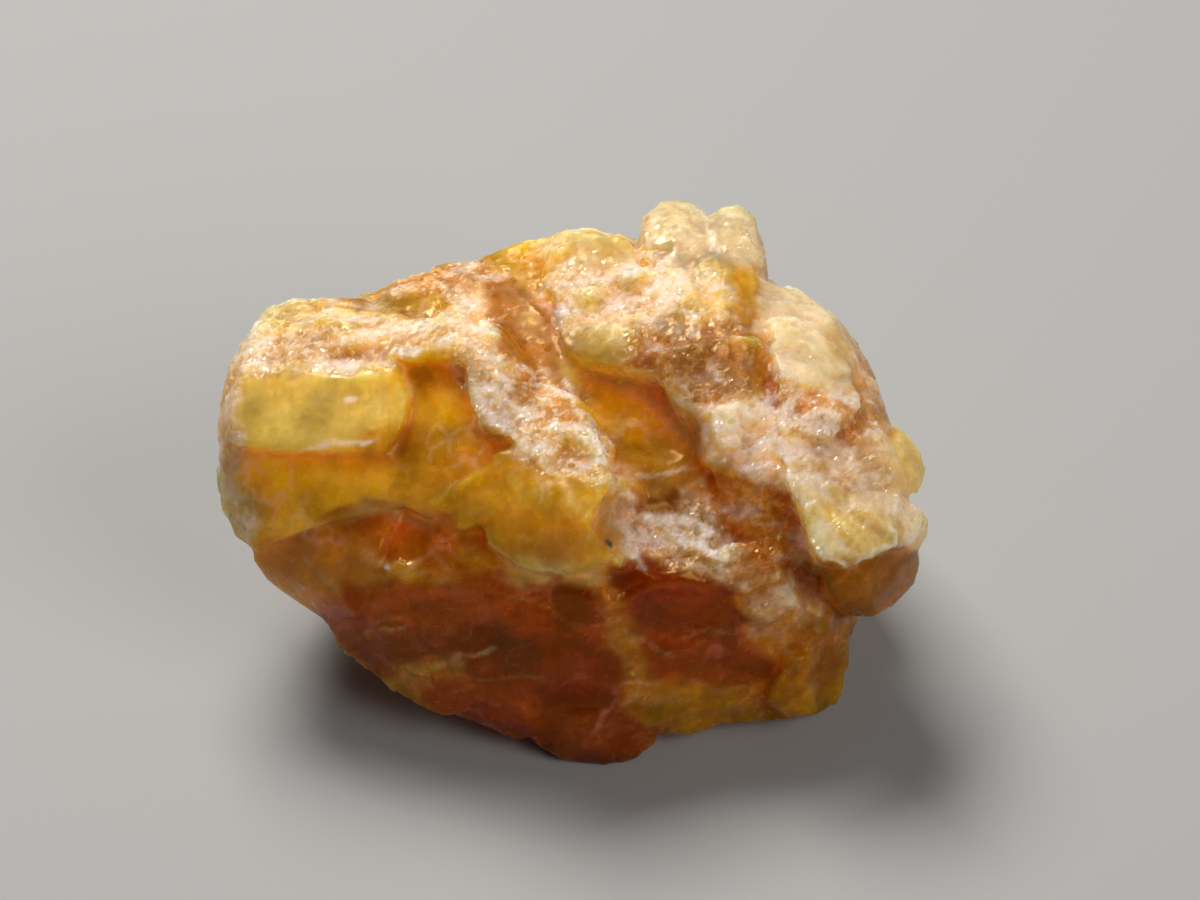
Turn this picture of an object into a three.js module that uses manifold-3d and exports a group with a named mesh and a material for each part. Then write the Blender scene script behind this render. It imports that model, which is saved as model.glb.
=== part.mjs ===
// A raw danburite crystal: one broken, honey-yellow stone, 36 mm across, lying on its flattest fracture.
//
// The stone is one solid. Its corners are given in the frame of its broad face: u runs across the face,
// v up it and w out of it. Blocks that grew together are joined, grains are set into the frosted ridges,
// and hollows are knocked out. The whole is then leaned back into the pose in which it lies, and cut level
// underneath.
//
// Millimetres, +Z up. The origin is on the surface that the stone lies on, below the middle of the stone.

import * as THREE from "three";
import { ConvexGeometry } from "three/addons/geometries/ConvexGeometry.js";
import { ImprovedNoise } from "three/addons/math/ImprovedNoise.js";
import { TessellateModifier } from "three/addons/modifiers/TessellateModifier.js";
import { mergeVertices } from "three/addons/utils/BufferGeometryUtils.js";
import Module from "manifold-3d";

const faceLean = THREE.MathUtils.degToRad(50); // of the broad face, from lying flat
const restHeight = 10; // of the face frame's origin above the surface
const longestEdge = 3.4; // of a block's triangles
const roughness = [
  { size: 5, depth: 0.5 }, // slow swells that bend the faces
  { size: 1.9, depth: 0.22 }, // dents and chips
];
const grainCorners = 14;
const grainSeed = 100;
const honeyYellow = 0xd6902f;

// The blocks, each as the corners [u, v, w] of a convex polyhedron. Each runs on under its neighbours.
const blocks = {
  // The body that everything else grew on or broke from.
  body: [
    [-17, 3, 0], [-15.6, 8.6, -2], [-9, 10.2, -3], [-4, 12.2, -4], [1, 13.3, -5], [9.2, 11.6, -6],
    [13, 9.4, -5], [15.6, 5, -4], [17, 0, -3], [14.6, -6, -2], [13.5, -11, -2], [5, -12.4, 0],
    [-3, -12.8, 1], [-9, -10.1, 0.5], [-13, -6.4, 0], [-16.4, -3, 0], [-9, 4.5, 4.5], [-9, -1.5, 6.3],
    [-4.6, -3.4, 7.6], [1.6, -5.8, 7.5], [5, -3.6, 7.5], [9, -5.2, 5.9], [13, -6.5, 3.5], [9, 3, 5],
    [0, 3, 6], [-5, 9, 1], [3, 9.5, 1.5], [-10.6, -4.4, 5.8], [-9, -9.2, 1.8], [-3, -11.8, 2.6],
    [3.5, -11.8, 2.8], [8.5, -11.2, 1.4], [-13, 5, -7], [-5, 9, -11], [4, 10, -12.5], [11, 7, -12],
    [13.5, 0, -11], [9, -5, -10], [0, -4, -11.3], [-8, -3, -11], [-14, -2, -6], [2, -12, -1.8],
  ],

  // The left end: two smooth cleavage windows, one above the other, under a crumbled top.
  headWindow: [
    [-16.6, 5.9, 4.8], [-8.6, 5.9, 6.2], [-8.2, 4.6, 6.7], [-8.5, 3.4, 6.9], [-9.6, 2.1, 7],
    [-17.2, 2.1, 5.3], [-16.2, 8.4, 2.4], [-9.4, 8.4, 3.8], [-17.8, 4, 2.4], [-17.3, 6.8, 1.4],
    [-17.9, 2.3, 2.2], [-15, 9.4, -1.5], [-8.5, 9.6, 0], [-7.6, 3, 1], [-17, 1, -1], [-9, 1, 1],
  ],
  headLedge: [
    [-16.6, 7.4, 1.8], [-15.9, 9.2, 0.4], [-14.5, 9.7, 0.2], [-13, 9.8, -0.2], [-11.5, 9.7, -0.4],
    [-9, 8.9, 3], [-12, 8.9, 2.6], [-15.2, 8.6, 2], [-15, 7, 0], [-9, 7, 1], [-14.6, 7.6, -4.6],
    [-7, 9.6, -7], [-9.5, 10, -0.4],
  ],
  headLower: [
    [-17.4, 2.2, 4.6], [-9.3, 2.2, 6.4], [-8.3, 0.6, 6.9], [-8.5, -0.4, 7], [-12, -1.6, 6.2],
    [-16.3, -3, 4.2], [-17.9, 1.4, 2], [-18, -0.5, 2.2], [-17.4, -2.1, 2], [-17, 4, 2], [-9, 4, 4],
    [-7.5, 0, 3], [-9, -2, 0], [-15.5, -3.6, -1],
  ],
  chin: [
    [-16.4, -2.6, 3.2], [-16.3, -3.6, 2.6], [-15.5, -4.7, 1.4], [-14.2, -5.9, 0.8], [-13, -6.5, 1.6],
    [-12, -1.4, 5.6], [-8.6, -0.4, 6.6], [-9.4, -3.6, 6.6], [-11, -6.2, 4.4], [-12, 1, 3], [-15, 0, 1],
    [-15.5, -3.4, -2], [-13, -6, -2], [-8, -3, 0], [-9, -7, 0],
  ],
  belly: [
    [-13, -6.3, 2], [-11.7, -8.1, 1], [-10.2, -9.4, 0.8], [-8.8, -10.4, 1], [-6.6, -11.3, 1.6],
    [-11, -5, 4.8], [-8.4, -3.4, 7.1], [-4.8, -8.8, 4.5], [-4.6, -11.1, 2.4], [-10, -6.8, 4.2],
    [-4, -5, 6], [-12, -5, -2], [-9, -8.6, -2], [-4, -9, -1],
  ],

  // The middle: a deep smooth window below a frosted ridge that runs down to the right, and a pale lobe
  // at its foot.
  browWindow: [
    [-8.4, 7, 5.2], [-5.4, 7.2, 5.8], [-9, 3, 6], [-4.6, 4.6, 6.9], [-8.6, -0.2, 6.9],
    [-7.2, -1.1, 7.5], [-3.9, -0.6, 8.2], [-1.5, 1.3, 8.3], [-3.6, 3.2, 7.5], [-9, 7, 0],
    [-4.6, 7.4, 0], [-9.5, 0, 2], [-7, -2.6, 3], [-3.5, -2, 3], [-1.5, 2, 1],
  ],
  browStep: [
    [-7.2, -0.2, 7.6], [-4.6, 0.8, 8.3], [-3.2, 1.6, 8.6], [-3.6, -1.2, 8.8], [-5.4, -1.9, 8.3],
    [-7, -1.5, 7.8], [-7.4, 0.4, 5], [-3, 2.4, 5], [-3, -2.6, 5], [-6.8, -2.6, 5],
  ],
  ridgeTop: [
    [-10.4, 7.2, 4.6], [-8.2, 6.8, 6.2], [-6.3, 7.2, 6.7], [-5.4, 6.6, 7], [-4.2, 7.6, 6],
    [-5.6, 8.8, 5.2], [-7.5, 9, 4.5], [-10.2, 8.7, 3.4], [-9.8, 8.6, 0], [-4, 9, 0], [-8, 5.6, 2],
    [-4, 5.6, 2],
  ],
  ridgeUpper: [
    [-5.6, 7, 6.9], [-4.9, 4.6, 7.9], [-4.2, 3, 8.5], [-3, 2.8, 8.6], [-2.2, 4.6, 7.4],
    [-2.6, 6.4, 6.2], [-3.6, 8.1, 5.2], [-4.8, 8.5, 5.2], [-6, 6.8, 2], [-4.6, 2.6, 3], [-1.4, 5.6, 2],
    [-3, 9, 0],
  ],
  ridgeLower: [
    [-4, 3.5, 8.4], [-2.2, 2, 9.2], [-0.4, 1.2, 9.8], [1.2, 0.2, 10.2], [2.3, 0.6, 9.6],
    [1.6, 2.2, 8.6], [1, 3.4, 7.8], [0.4, 4.1, 7.2], [-1.2, 4.5, 7.4], [-2.6, 4.6, 7.5], [-4.5, 3, 4],
    [1, -0.5, 4], [2.6, 3.4, 3], [-1, 6, 3],
  ],
  ridgeEnd: [
    [1, 0.4, 10.2], [2.7, 0.6, 9.3], [3.2, -0.6, 8.9], [3.2, -3.2, 8.4], [2.5, -3.9, 8.7],
    [2.2, -2, 9.7], [1.6, -0.6, 10.2], [1, 1, 5], [4.4, 0, 4], [4.2, -3.6, 4], [1.6, -4.6, 5],
  ],
  paleLobe: [
    [-3.7, 2.1, 8.5], [-2, 2.6, 8.8], [-0.2, 1.8, 9.4], [1.5, 0.6, 9.9], [2.4, -1.6, 9.7],
    [2.6, -3.1, 9.1], [0.9, -3.9, 9], [-0.8, -4.2, 8.9], [-2.4, -3.8, 8.8], [-4, -2.6, 8.5],
    [-4.4, -0.6, 8.3], [-2.6, -0.4, 9.5], [-0.6, -0.4, 10.1], [0.9, -1.4, 10.2], [0.3, -2.8, 9.8],
    [-1.8, -2.6, 9.5], [-5, 1, 5], [2, 1.5, 4], [2.6, -4, 5.6], [-4, -3.6, 5.6], [-0.4, -4.8, 5.8],
  ],

  // The top: a shoulder, the floor of a channel, a granular boulder and the two knobs of the crown.
  shoulder: [
    [-10.4, 10.1, -0.6], [-8.8, 10.9, -1], [-6.8, 11.8, -1.4], [-5, 12.2, -1.4], [-4.1, 11.4, -0.2],
    [-4.1, 9.4, 2.3], [-6, 8.7, 3.9], [-9.8, 8.8, 2.6], [-9.6, 9.2, -4.8], [-4, 11.2, -5.6],
    [-4, 7.8, 1], [-10, 7.4, 0],
  ],
  channelFloor: [
    [-4.8, 12.4, -1.6], [-2.8, 12.9, -1.9], [-1.2, 13, -1.8], [-0.6, 9.6, 1.6], [-1.4, 5.2, 5.2],
    [0.4, 4.4, 5.6], [-3.6, 7.6, 3.6], [-4.8, 9.6, 1.9], [-4.4, 11.4, -5.6], [-0.6, 12.2, -6.4],
    [0, 5, 0], [-5, 8, 0],
  ],
  boulderLeft: [
    [-1.7, 12.4, -0.4], [-1.5, 10.6, 1.8], [-0.8, 9.6, 3.2], [0.8, 9.4, 3.8], [2.8, 10, 3],
    [3.4, 11.6, 1.4], [2.6, 13.2, -0.4], [1.2, 13.8, -0.8], [-0.2, 13.6, -1], [0.6, 12.2, 1.4],
    [-1.6, 12.4, -5], [3.6, 13, -5], [4, 9, 0], [-1, 8.6, 0],
  ],
  boulderMiddle: [
    [-1, 9.8, 2.8], [-0.6, 7.4, 4.8], [0.5, 6.3, 5.8], [3, 6, 6.2], [5.2, 5.9, 6.5], [6.8, 7, 6.2],
    [7, 9, 4.6], [5.6, 11.2, 2.6], [3, 11.4, 1.8], [0.8, 10.6, 2.6], [3.4, 8.2, 5.6], [0.6, 5, 1],
    [7, 4, 2], [7.4, 11, -2], [0, 11, -2],
  ],
  paleHump: [
    [0.3, 7, 5.6], [1, 6.3, 6.6], [2.4, 6.2, 6.9], [3.3, 6.8, 6.8], [3.2, 8, 6.2], [2, 8.7, 5.6],
    [0.6, 8.3, 5.2], [1.8, 7.3, 7], [0.4, 6.2, 4], [3.4, 6, 4], [3, 9, 3], [0.4, 8.6, 3],
  ],
  boulderRight: [
    [5.8, 5.4, 6.6], [7.4, 4.6, 7], [9.4, 4.4, 6.8], [9.9, 6.4, 5.4], [9.8, 9.4, 2.8], [9.2, 11.6, 0.8],
    [7, 11.8, 1.4], [5.4, 10.4, 3], [8.2, 8, 5], [5, 5, 2], [11, 4, 2], [10.6, 11, -3], [6, 12, -4],
  ],
  crownLeft: [
    [3.6, 12, 0.4], [3.7, 14.3, -1.4], [4.7, 15.1, -2], [6.2, 15.2, -2.2], [7, 14.6, -2],
    [7.3, 13.4, -0.8], [7.6, 11.4, 1.2], [5.2, 10.8, 2], [5.5, 13.4, 0.2], [3.4, 12, -5],
    [4.4, 13.4, -5.4], [6.4, 13.6, -5], [5, 11.4, -9], [8, 11, -4],
  ],
  crownRight: [
    [7, 14.2, -1.8], [7.9, 14.7, -2], [8.8, 14.9, -2.2], [9.7, 14.3, -2.2], [10.1, 12.8, -1.8],
    [10.1, 11.2, -0.4], [9, 10.4, 2], [7, 11.2, 1.4], [7.4, 12.9, 0.2], [8.8, 12.6, 0], [7.2, 13.2, -4.4],
    [9.2, 12.8, -4.8], [8, 11, -9], [9.8, 10.6, -5],
  ],

  // The right: a pale slab that stands over the rest, with lumps along its outer edge.
  rightMiddle: [
    [4.2, 6.4, 6.2], [6.4, 4.4, 6.9], [9.9, 4.4, 6.8], [10.6, 1.4, 7.4], [8, 0.7, 7.5], [6.6, 1.2, 7.3],
    [6, 3.2, 7.1], [4, 6, 3], [11, 5, 2], [11, 0.6, 3], [6.4, 0.4, 4],
  ],
  underSlab: [
    [7.2, 1.4, 7.1], [9.4, 1.6, 7.3], [11.2, 1.2, 7.5], [12, -2.2, 7.2], [11.4, -3.6, 6.6], [9, -3.2, 6.8],
    [7.2, -1.2, 6.6], [7, 1, 3], [11.5, 1, 3], [12, -4, 3], [7.4, -3.4, 4],
  ],
  smallPlate: [
    [7.1, 3.9, 7.6], [8.6, 4.2, 7.4], [8.7, 2.4, 7.9], [7.4, 2.1, 8], [6.8, 4.2, 5], [9, 4.6, 5],
    [9, 1.9, 5], [7, 1.6, 5],
  ],
  slab: [
    [9.9, 11, 0.8], [10, 7, 4.8], [10.2, 3.4, 7.2], [11, 0.2, 8.6], [12.3, -3.1, 9.3],
    [13.8, -3.8, 9.1], [16.3, -2.7, 7.6], [16.2, 1.5, 6.2], [15.4, 4.6, 4.4], [13.4, 8.6, 2],
    [12.4, 10, 0.4], [16.3, 3.6, 1.5], [15.3, 6.6, -0.5], [13.8, 8.8, -1.8], [11.8, 10.4, -2],
    [17.2, 0, 2], [17.2, -2.4, 3], [10, 10.8, -4], [9, 8, 0], [9, 3, 3], [10, -0.6, 4], [12, -4.4, 4],
    [16.4, -3.4, 0],
  ],
  slabUpper: [
    [10.2, 8.8, 3.9], [10.4, 5.6, 6.5], [10.9, 3, 7.6], [12.8, 2.4, 7.4], [14.6, 4.2, 5.9],
    [13.6, 7, 4.4], [12, 8.8, 3], [10, 9.6, 0], [10, 3, 4], [14.6, 3, 3], [14, 8, 0],
  ],
  sideKnob: [
    [15.6, 3.9, 3.8], [17.1, 3.1, 3.2], [17.6, 2.4, 3], [18, 1.1, 2.8], [17.6, 0.1, 3], [16.6, -0.2, 4],
    [16, 0.6, 5.2], [16.3, 2.4, 5], [17.3, 1.2, 4.6], [15, 3.4, 1], [17.4, 1, 0.5], [15, 0, 1],
  ],
  whiteChunk: [
    [15.4, -0.4, 6.8], [17, -0.4, 5.4], [17.9, -1.2, 3.8], [18, -2, 3.4], [17.7, -2.9, 3.4],
    [16.6, -3, 6.6], [15.4, -2.4, 7.7], [17.3, -1.6, 5.8], [15, 0, 1], [17.6, -1.5, 0.6], [15, -3.4, 1],
  ],
  amberLobe: [
    [13.2, -3.2, 6.4], [12.8, -4.6, 6], [13.6, -5.8, 4.6], [15.2, -6.3, 3.4], [16.4, -5.8, 2.8],
    [17.5, -4.9, 2.4], [17.9, -3.8, 2.6], [17.6, -2.8, 4], [15.8, -3.4, 6.2], [16.6, -4.6, 4.8],
    [14.6, -4.8, 6.2], [15, -5.8, 4.6], [12, -2, 1], [17, -3.6, -1], [15.6, -5.8, -1], [12, -6, 0],
  ],

  // The foot of the face, down to the surface.
  bumpUpper: [
    [6.6, -3.4, 6.8], [8, -2.8, 7.4], [9.9, -3.2, 7.2], [10.4, -4.4, 6.8], [9, -5, 6.9], [7.2, -4.6, 7],
    [6, -3, 4], [11, -2.6, 3], [11, -5.4, 4], [6.8, -5.6, 4.6],
  ],
  bumpLower: [
    [8.6, -4.6, 6.6], [10.6, -4.2, 6.4], [11.4, -5.6, 5.4], [9.8, -6.6, 5.6], [8.2, -5.8, 6.2],
    [8, -4, 3], [12, -4, 2], [11.6, -7, 3], [8.4, -7, 4],
  ],
  footKnob: [
    [-1.7, -12.9, 1.4], [-0.4, -13.9, 1.2], [0.9, -14.2, 1.2], [2, -14.1, 1.2], [3, -13.6, 1.3],
    [3.9, -12.7, 1.6], [4.4, -11.2, 2.7], [2.4, -10.4, 3.6], [-0.8, -10.8, 3.4], [-2.2, -11.8, 2.6],
    [1, -12.9, 2.8], [-2, -11, -2], [4, -11, -2], [1, -13.6, -0.8],
  ],
  footRight: [
    [3.6, -12.3, 1.4], [6.1, -12.6, 0.8], [7.6, -12.3, 0.4], [8.6, -11.9, 0.6], [9.9, -11.7, 0.2],
    [12.7, -11.5, -1], [13.6, -11, -1.2], [13.9, -10.2, -0.8], [14.3, -9.2, -0.4], [12.4, -7.4, 2.7],
    [9, -8, 3.7], [5.4, -9.4, 3.9], [3.6, -11, 3.1], [3, -9, 1], [5, -12, -2], [13, -10.5, -4],
    [13.5, -8, -3],
  ],
  footEdge: [
    [12.9, -5.8, 3.2], [14.3, -6.4, 1.2], [14.4, -8, 0.6], [14.5, -9.3, 0.2], [13.4, -10, 0.6],
    [12.4, -9, 2], [11.4, -6.4, 4.2], [11, -5, 1], [13.6, -6, -2], [13.8, -9, -2], [11, -10, 0],
  ],
  footRib: [
    [11, -8.6, 3.8], [12, -8.2, 3.6], [12.4, -11.2, 0.8], [11.2, -11.5, 0.8], [10, -10.6, 2.6],
    [10.4, -8, 1], [13, -8, 0], [12, -11, -2], [10, -10.6, -1],
  ],

  // The hidden side: cleavage steps down the back.
  backStep: [
    [1, 9, -12.6], [9.5, 7.4, -13.4], [12.4, 3, -12.8], [10.5, -1.4, -12.4], [3.4, -0.8, -13.2],
    [0.2, 4, -13.4], [0, 9.4, -9], [12, 8, -9], [14, 2, -8], [10, -3, -8], [2, -3, -8],
  ],
  backRib: [
    [-11, 6.4, -8.6], [-6.4, 8.2, -10.8], [-3, 5.6, -12.4], [-6, 1.6, -11.8], [-11.4, 1.6, -9.4],
    [-13, 4, -7.6], [-12, 7, -5], [-3, 8, -6], [-5, 0, -7], [-12.6, 0, -5],
  ],
  backHorn: [
    [-2.4, 11.6, -8], [-0.2, 12.4, -8.6], [2.6, 12.2, -9.4], [3.8, 10.4, -10.8], [0.4, 9.8, -11.6],
    [-2.8, 10, -10], [-2, 11, -5], [4, 12, -5], [4, 9, -8], [-3, 8, -8],
  ],
};

// Hollows, each as the middle, the three radii and the turn about u, v and w in degrees.
const hollows = {
  deepWindow: { middle: [3.9, 3.3, 9.2], radii: [3.9, 2.3, 4.2], turn: [0, 0, -38] },
  lowerWindow: { middle: [4.7, 0.1, 9.2], radii: [2.2, 1.1, 2.8], turn: [0, 0, -10] },
  whiteHollow: { middle: [5.2, -1.8, 10.4], radii: [3.9, 3.3, 4.1], turn: [0, 0, -12] },
  redWindow: { middle: [-8.2, -2.7, 9.6], radii: [3.2, 2.2, 3.2], turn: [18, -8, 12] },
  shellLeft: { middle: [-10.4, -9, 7.7], radii: [5.6, 4, 4], turn: [32, -22, 26] },
  shellMiddle: { middle: [-3, -9.9, 9], radii: [4.8, 5, 4], turn: [36, -2, -34] },
  shellRight: { middle: [5.6, -8.2, 8.9], radii: [5, 4.4, 4], turn: [34, 6, 22] },
  backShell: { middle: [-4, 3, -16], radii: [6.4, 7.4, 4.2], turn: [0, 14, 20] },
  backBite: { middle: [16, 6.4, -13], radii: [5.4, 7, 5.6], turn: [0, 30, 0] },
  backScoop: { middle: [6.5, 14.6, -13.6], radii: [8.4, 4, 5.2], turn: [-24, 0, 0] },
};

// Seams of grains in the frosted ridges. Each runs from one end to the other, with a spread to either
// side; size is the radius of the largest grain.
const seams = [
  { from: [-16, 7, 2.2], to: [-9.6, 7.2, 3.6], spread: [0.4, 0.6, 0.3], size: 1.7, count: 5 },
  { from: [-9.4, 7.9, 3.4], to: [-5, 7.6, 4.8], spread: [0.4, 0.6, 0.3], size: 1.6, count: 5 },
  { from: [-4.6, 7, 5.2], to: [-3.4, 4, 6.8], spread: [0.6, 0.5, 0.3], size: 1.5, count: 5 },
  { from: [-3, 3.2, 7.2], to: [1.2, 1.2, 8.6], spread: [0.5, 0.8, 0.3], size: 1.6, count: 7 },
  { from: [2, 0, 8.6], to: [2.5, -3.2, 7.5], spread: [0.4, 0.3, 0.3], size: 1.3, count: 4 },
  { from: [3.6, -1, 5.8], to: [7.4, -2.4, 5.4], spread: [0.6, 0.7, 0.3], size: 1.3, count: 5 },
  { from: [-8.8, 9.6, -0.6], to: [-5.2, 10.4, -0.2], spread: [0.6, 0.5, 0.3], size: 1.6, count: 5 },
  { from: [-0.8, 11.4, 0.2], to: [2.4, 11.8, 0.2], spread: [0.5, 0.8, 0.4], size: 1.8, count: 4 },
  { from: [0.8, 9.4, 2.6], to: [6, 9.6, 2.8], spread: [0.6, 0.9, 0.5], size: 1.9, count: 6 },
  { from: [4.6, 7.4, 4.8], to: [9, 6, 4.8], spread: [0.5, 0.9, 0.4], size: 1.8, count: 6 },
  { from: [5.8, 3.8, 5.9], to: [9.6, 2.6, 6.2], spread: [0.5, 0.7, 0.3], size: 1.5, count: 5 },
  { from: [11, 8, 2.8], to: [11.8, 1.6, 6.6], spread: [0.5, 0.6, 0.3], size: 1.7, count: 5 },
  { from: [14.2, 6.2, 2.2], to: [15.6, 0, 5], spread: [0.4, 0.6, 0.4], size: 1.8, count: 5 },
  { from: [12.4, -1.8, 7.6], to: [15.6, -1.6, 6.4], spread: [0.4, 0.6, 0.3], size: 1.6, count: 4 },
  { from: [-9.4, 7.6, -6], to: [-3, 9, -7.8], spread: [0.6, 0.6, 0.4], size: 2.8, count: 4 },
  { from: [10.4, -1.6, -10.6], to: [12.4, 3, -11], spread: [0.5, 0.6, 0.5], size: 2, count: 4 },
];

const manifold = await Module();
manifold.setup();

// A closed geometry as a solid that can be joined and cut.
function solidOf(geometry) {
  const bare = geometry.clone();
  bare.deleteAttribute("normal");
  bare.deleteAttribute("uv");
  const { attributes, index } = mergeVertices(bare, 1e-4);
  const mesh = new manifold.Mesh({
    numProp: 3,
    vertProperties: new Float32Array(attributes.position.array),
    triVerts: new Uint32Array(index.array),
  });
  return new manifold.Manifold(mesh);
}

// A solid as a geometry.
function geometryOf(solid) {
  const mesh = solid.getMesh();
  return new THREE.BufferGeometry()
    .setAttribute("position", new THREE.BufferAttribute(mesh.vertProperties, 3))
    .setIndex(new THREE.BufferAttribute(mesh.triVerts, 1))
    .toNonIndexed();
}

// Moves every corner by noise that depends only on where it is, so that faces stay joined.
function roughen(geometry) {
  const noise = new ImprovedNoise();
  const positions = geometry.attributes.position;
  const corner = new THREE.Vector3();
  for (let i = 0; i < positions.count; i += 1) {
    corner.fromBufferAttribute(positions, i);
    for (const { size, depth } of roughness) {
      const { x, y, z } = corner.clone().divideScalar(size);
      corner.x += depth * noise.noise(x, y, z);
      corner.y += depth * noise.noise(y + 31.4, z, x);
      corner.z += depth * noise.noise(z, x + 47.1, y);
    }
    positions.setXYZ(i, corner.x, corner.y, corner.z);
  }
  return geometry;
}

// A convex block, its faces bent a little by the roughness.
function block(corners) {
  const hull = new ConvexGeometry(corners.map((corner) => new THREE.Vector3(...corner)));
  const split = new TessellateModifier(longestEdge, 12).modify(hull);
  return solidOf(roughen(split));
}

// One many-sided grain; chance gives random numbers from 0 to 1.
function grain(middle, radius, chance) {
  const corners = [];
  for (let i = 0; i < grainCorners; i += 1) {
    const corner = new THREE.Vector3(chance() - 0.5, chance() - 0.5, chance() - 0.5);
    corner.setLength(radius * THREE.MathUtils.lerp(0.85, 1, chance()));
    corners.push(corner.add(middle));
  }
  return solidOf(roughen(new ConvexGeometry(corners)));
}

// The grains of one seam.
function grains({ from, to, spread, size, count }, seam) {
  THREE.MathUtils.seededRandom(grainSeed + seam);
  const chance = () => THREE.MathUtils.seededRandom();
  const start = new THREE.Vector3(...from);
  const end = new THREE.Vector3(...to);
  const placed = [];
  for (let i = 0; i < count; i += 1) {
    const aside = new THREE.Vector3(chance() * 2 - 1, chance() * 2 - 1, chance() * 2 - 1);
    const middle = start.clone().lerp(end, (i + chance()) / count);
    middle.add(aside.multiply(new THREE.Vector3(...spread)));
    placed.push(grain(middle, size * THREE.MathUtils.lerp(0.6, 1, chance()), chance));
  }
  return placed;
}

// A rounded hollow, to be cut away.
function hollow({ middle, radii, turn }) {
  const angles = turn.map((angle) => THREE.MathUtils.degToRad(angle));
  const round = new THREE.IcosahedronGeometry(1, 4)
    .scale(...radii)
    .rotateX(angles[0])
    .rotateY(angles[1])
    .rotateZ(angles[2])
    .translate(...middle);
  return solidOf(roughen(round));
}

const grown = [...Object.values(blocks).map(block), ...seams.flatMap(grains)];
const joined = grown.reduce((whole, one) => whole.add(one));
const broken = Object.values(hollows)
  .map(hollow)
  .reduce((whole, one) => whole.subtract(one), joined);

const leaned = geometryOf(broken).rotateX(faceLean).translate(0, 0, restHeight);
const below = new THREE.BoxGeometry(100, 100, 20).translate(0, 0, -10);
const levelled = solidOf(leaned).subtract(solidOf(below));

// Any pocket shut in between the grains is filled, by keeping only the outer skin.
const [outside] = levelled.decompose().sort((one, other) => other.volume() - one.volume());
const resting = geometryOf(outside);
resting.computeBoundingBox();
const middle = resting.boundingBox.getCenter(new THREE.Vector3());

const danburite = new THREE.Mesh(
  resting.translate(-middle.x, -middle.y, 0),
  new THREE.MeshStandardMaterial({
    color: honeyYellow,
    roughness: 0.35,
    metalness: 0,
    flatShading: true,
  }),
);
danburite.name = "danburite";

export default new THREE.Group().add(danburite);
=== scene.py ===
import math

import bmesh
import bpy
import numpy as np
from mathutils import Color, Matrix, Vector, noise


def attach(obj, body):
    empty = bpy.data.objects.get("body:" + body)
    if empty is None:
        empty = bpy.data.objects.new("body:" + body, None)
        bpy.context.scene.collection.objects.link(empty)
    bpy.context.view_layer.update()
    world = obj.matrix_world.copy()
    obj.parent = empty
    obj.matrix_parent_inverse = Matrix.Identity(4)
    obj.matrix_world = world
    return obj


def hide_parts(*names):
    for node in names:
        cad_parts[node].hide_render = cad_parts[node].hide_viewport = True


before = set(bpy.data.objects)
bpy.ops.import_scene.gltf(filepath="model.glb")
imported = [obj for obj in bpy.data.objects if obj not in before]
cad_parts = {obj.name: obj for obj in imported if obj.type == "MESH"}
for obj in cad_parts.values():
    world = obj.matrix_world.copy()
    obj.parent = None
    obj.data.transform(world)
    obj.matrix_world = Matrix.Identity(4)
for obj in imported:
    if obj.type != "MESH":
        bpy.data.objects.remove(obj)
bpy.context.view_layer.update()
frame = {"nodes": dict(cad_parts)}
print("frame loaded:", ", ".join(frame["nodes"]))

mm = 0.001

# The broad face has a frame of its own, as in the solid: u across it, v up it, w out of it, in mm.
faceLean = math.radians(50)   # back from lying flat
faceOrigin = Vector((-0.0255, -2.8394, 10)) * mm
faceAxes = Matrix((
    (1, 0, 0),
    (0, math.cos(faceLean), math.sin(faceLean)),
    (0, -math.sin(faceLean), math.cos(faceLean)),
))


def toFace(points):
    return (points - np.array(faceOrigin)) @ np.array(faceAxes).T / mm


def srgb(red, green, blue):
    return tuple(Color((red / 255, green / 255, blue / 255)).from_srgb_to_scene_linear())


palette = {
    "white": srgb(236, 216, 196),
    "milk": srgb(216, 188, 144),
    "cream": srgb(222, 184, 134),
    "shell": srgb(240, 200, 156),
    "sand": srgb(204, 160, 106),
    "straw": srgb(218, 178, 104),
    "lemon": srgb(228, 190, 86),
    "gold": srgb(220, 160, 14),
    "honey": srgb(220, 150, 8),
    "amber": srgb(240, 176, 2),
    "sunlit": srgb(246, 178, 8),
    "olive": srgb(188, 112, 8),
    "bronze": srgb(222, 142, 8),
    "ember": srgb(230, 120, 0),
    "rust": srgb(198, 78, 0),
    "brown": srgb(176, 71, 2),
    "deepRed": srgb(176, 60, 0),
    "taupe": srgb(200, 136, 66),
    "dark": srgb(40, 24, 10),
}

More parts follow.
